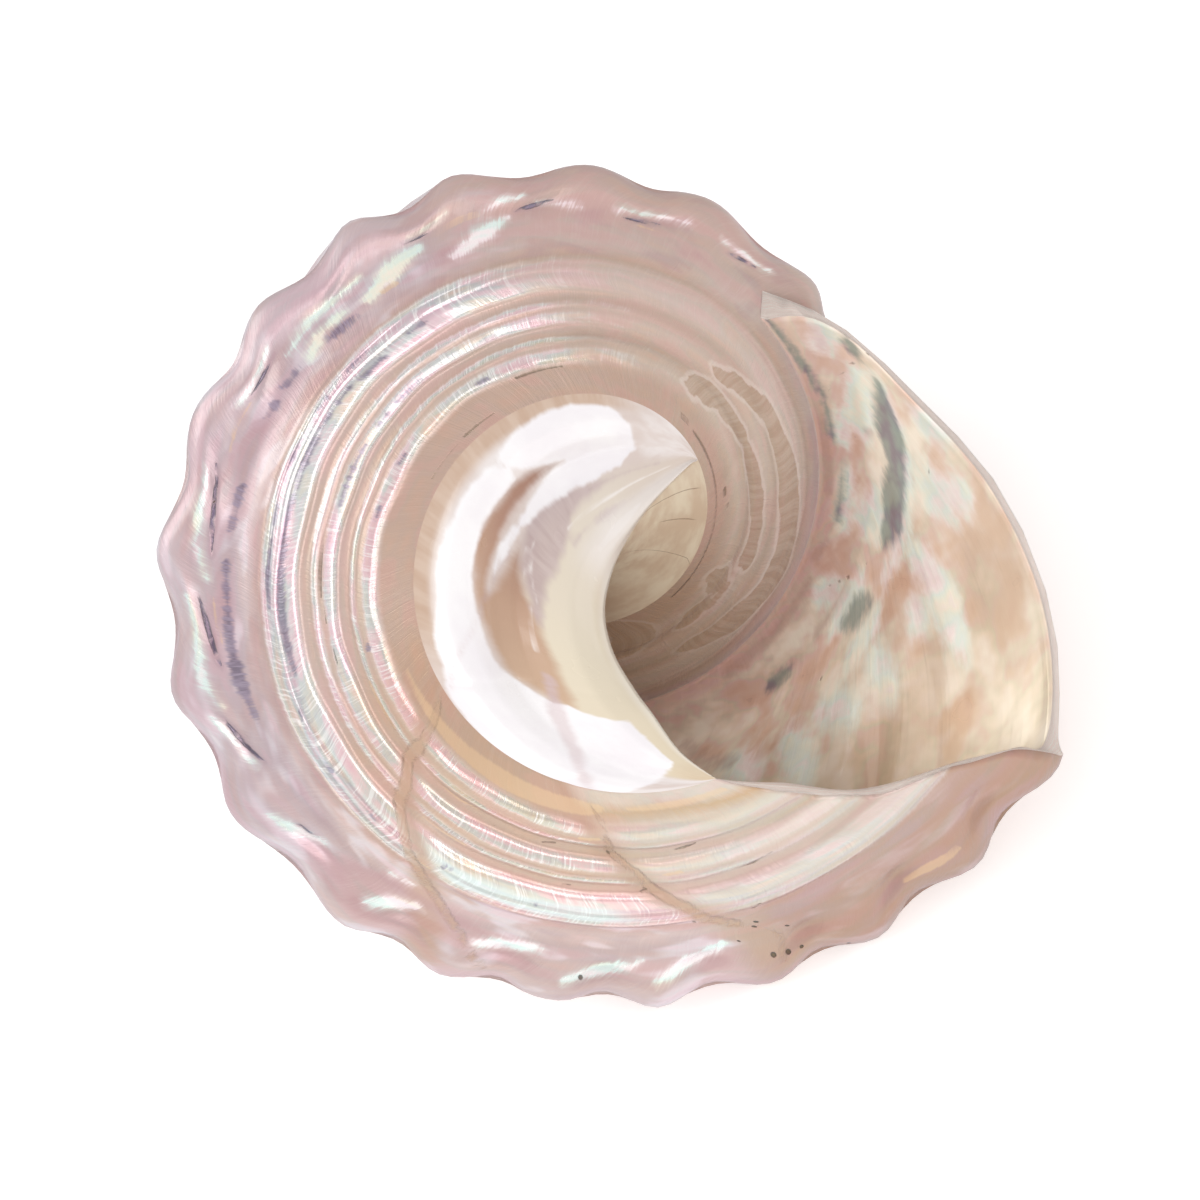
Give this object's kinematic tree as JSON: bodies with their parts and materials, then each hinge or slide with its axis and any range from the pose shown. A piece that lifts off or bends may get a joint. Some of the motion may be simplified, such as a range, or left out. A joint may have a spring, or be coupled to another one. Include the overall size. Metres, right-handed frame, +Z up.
{
  "type": "turban shell",
  "caption": "Polished pearly wavy turban shell lying on its spire and keel, its open base with coiled cords, porcelain callus and wide aperture turned up.",
  "frame": {"origin": "centre of the bounding box on the surface that the shell lies on", "axes": "+Z up; +X to the right and -Y towards the viewer who looks down into the base and the aperture"},
  "size_m": [0.091, 0.0866, 0.0656],
  "materials": {
    "nacre": "polished mother-of-pearl, pale pink with green and blue play of colour, glossy"
  },
  "bodies": {
    "root": {"shell": "nacre"}
  },
  "joints": []
}
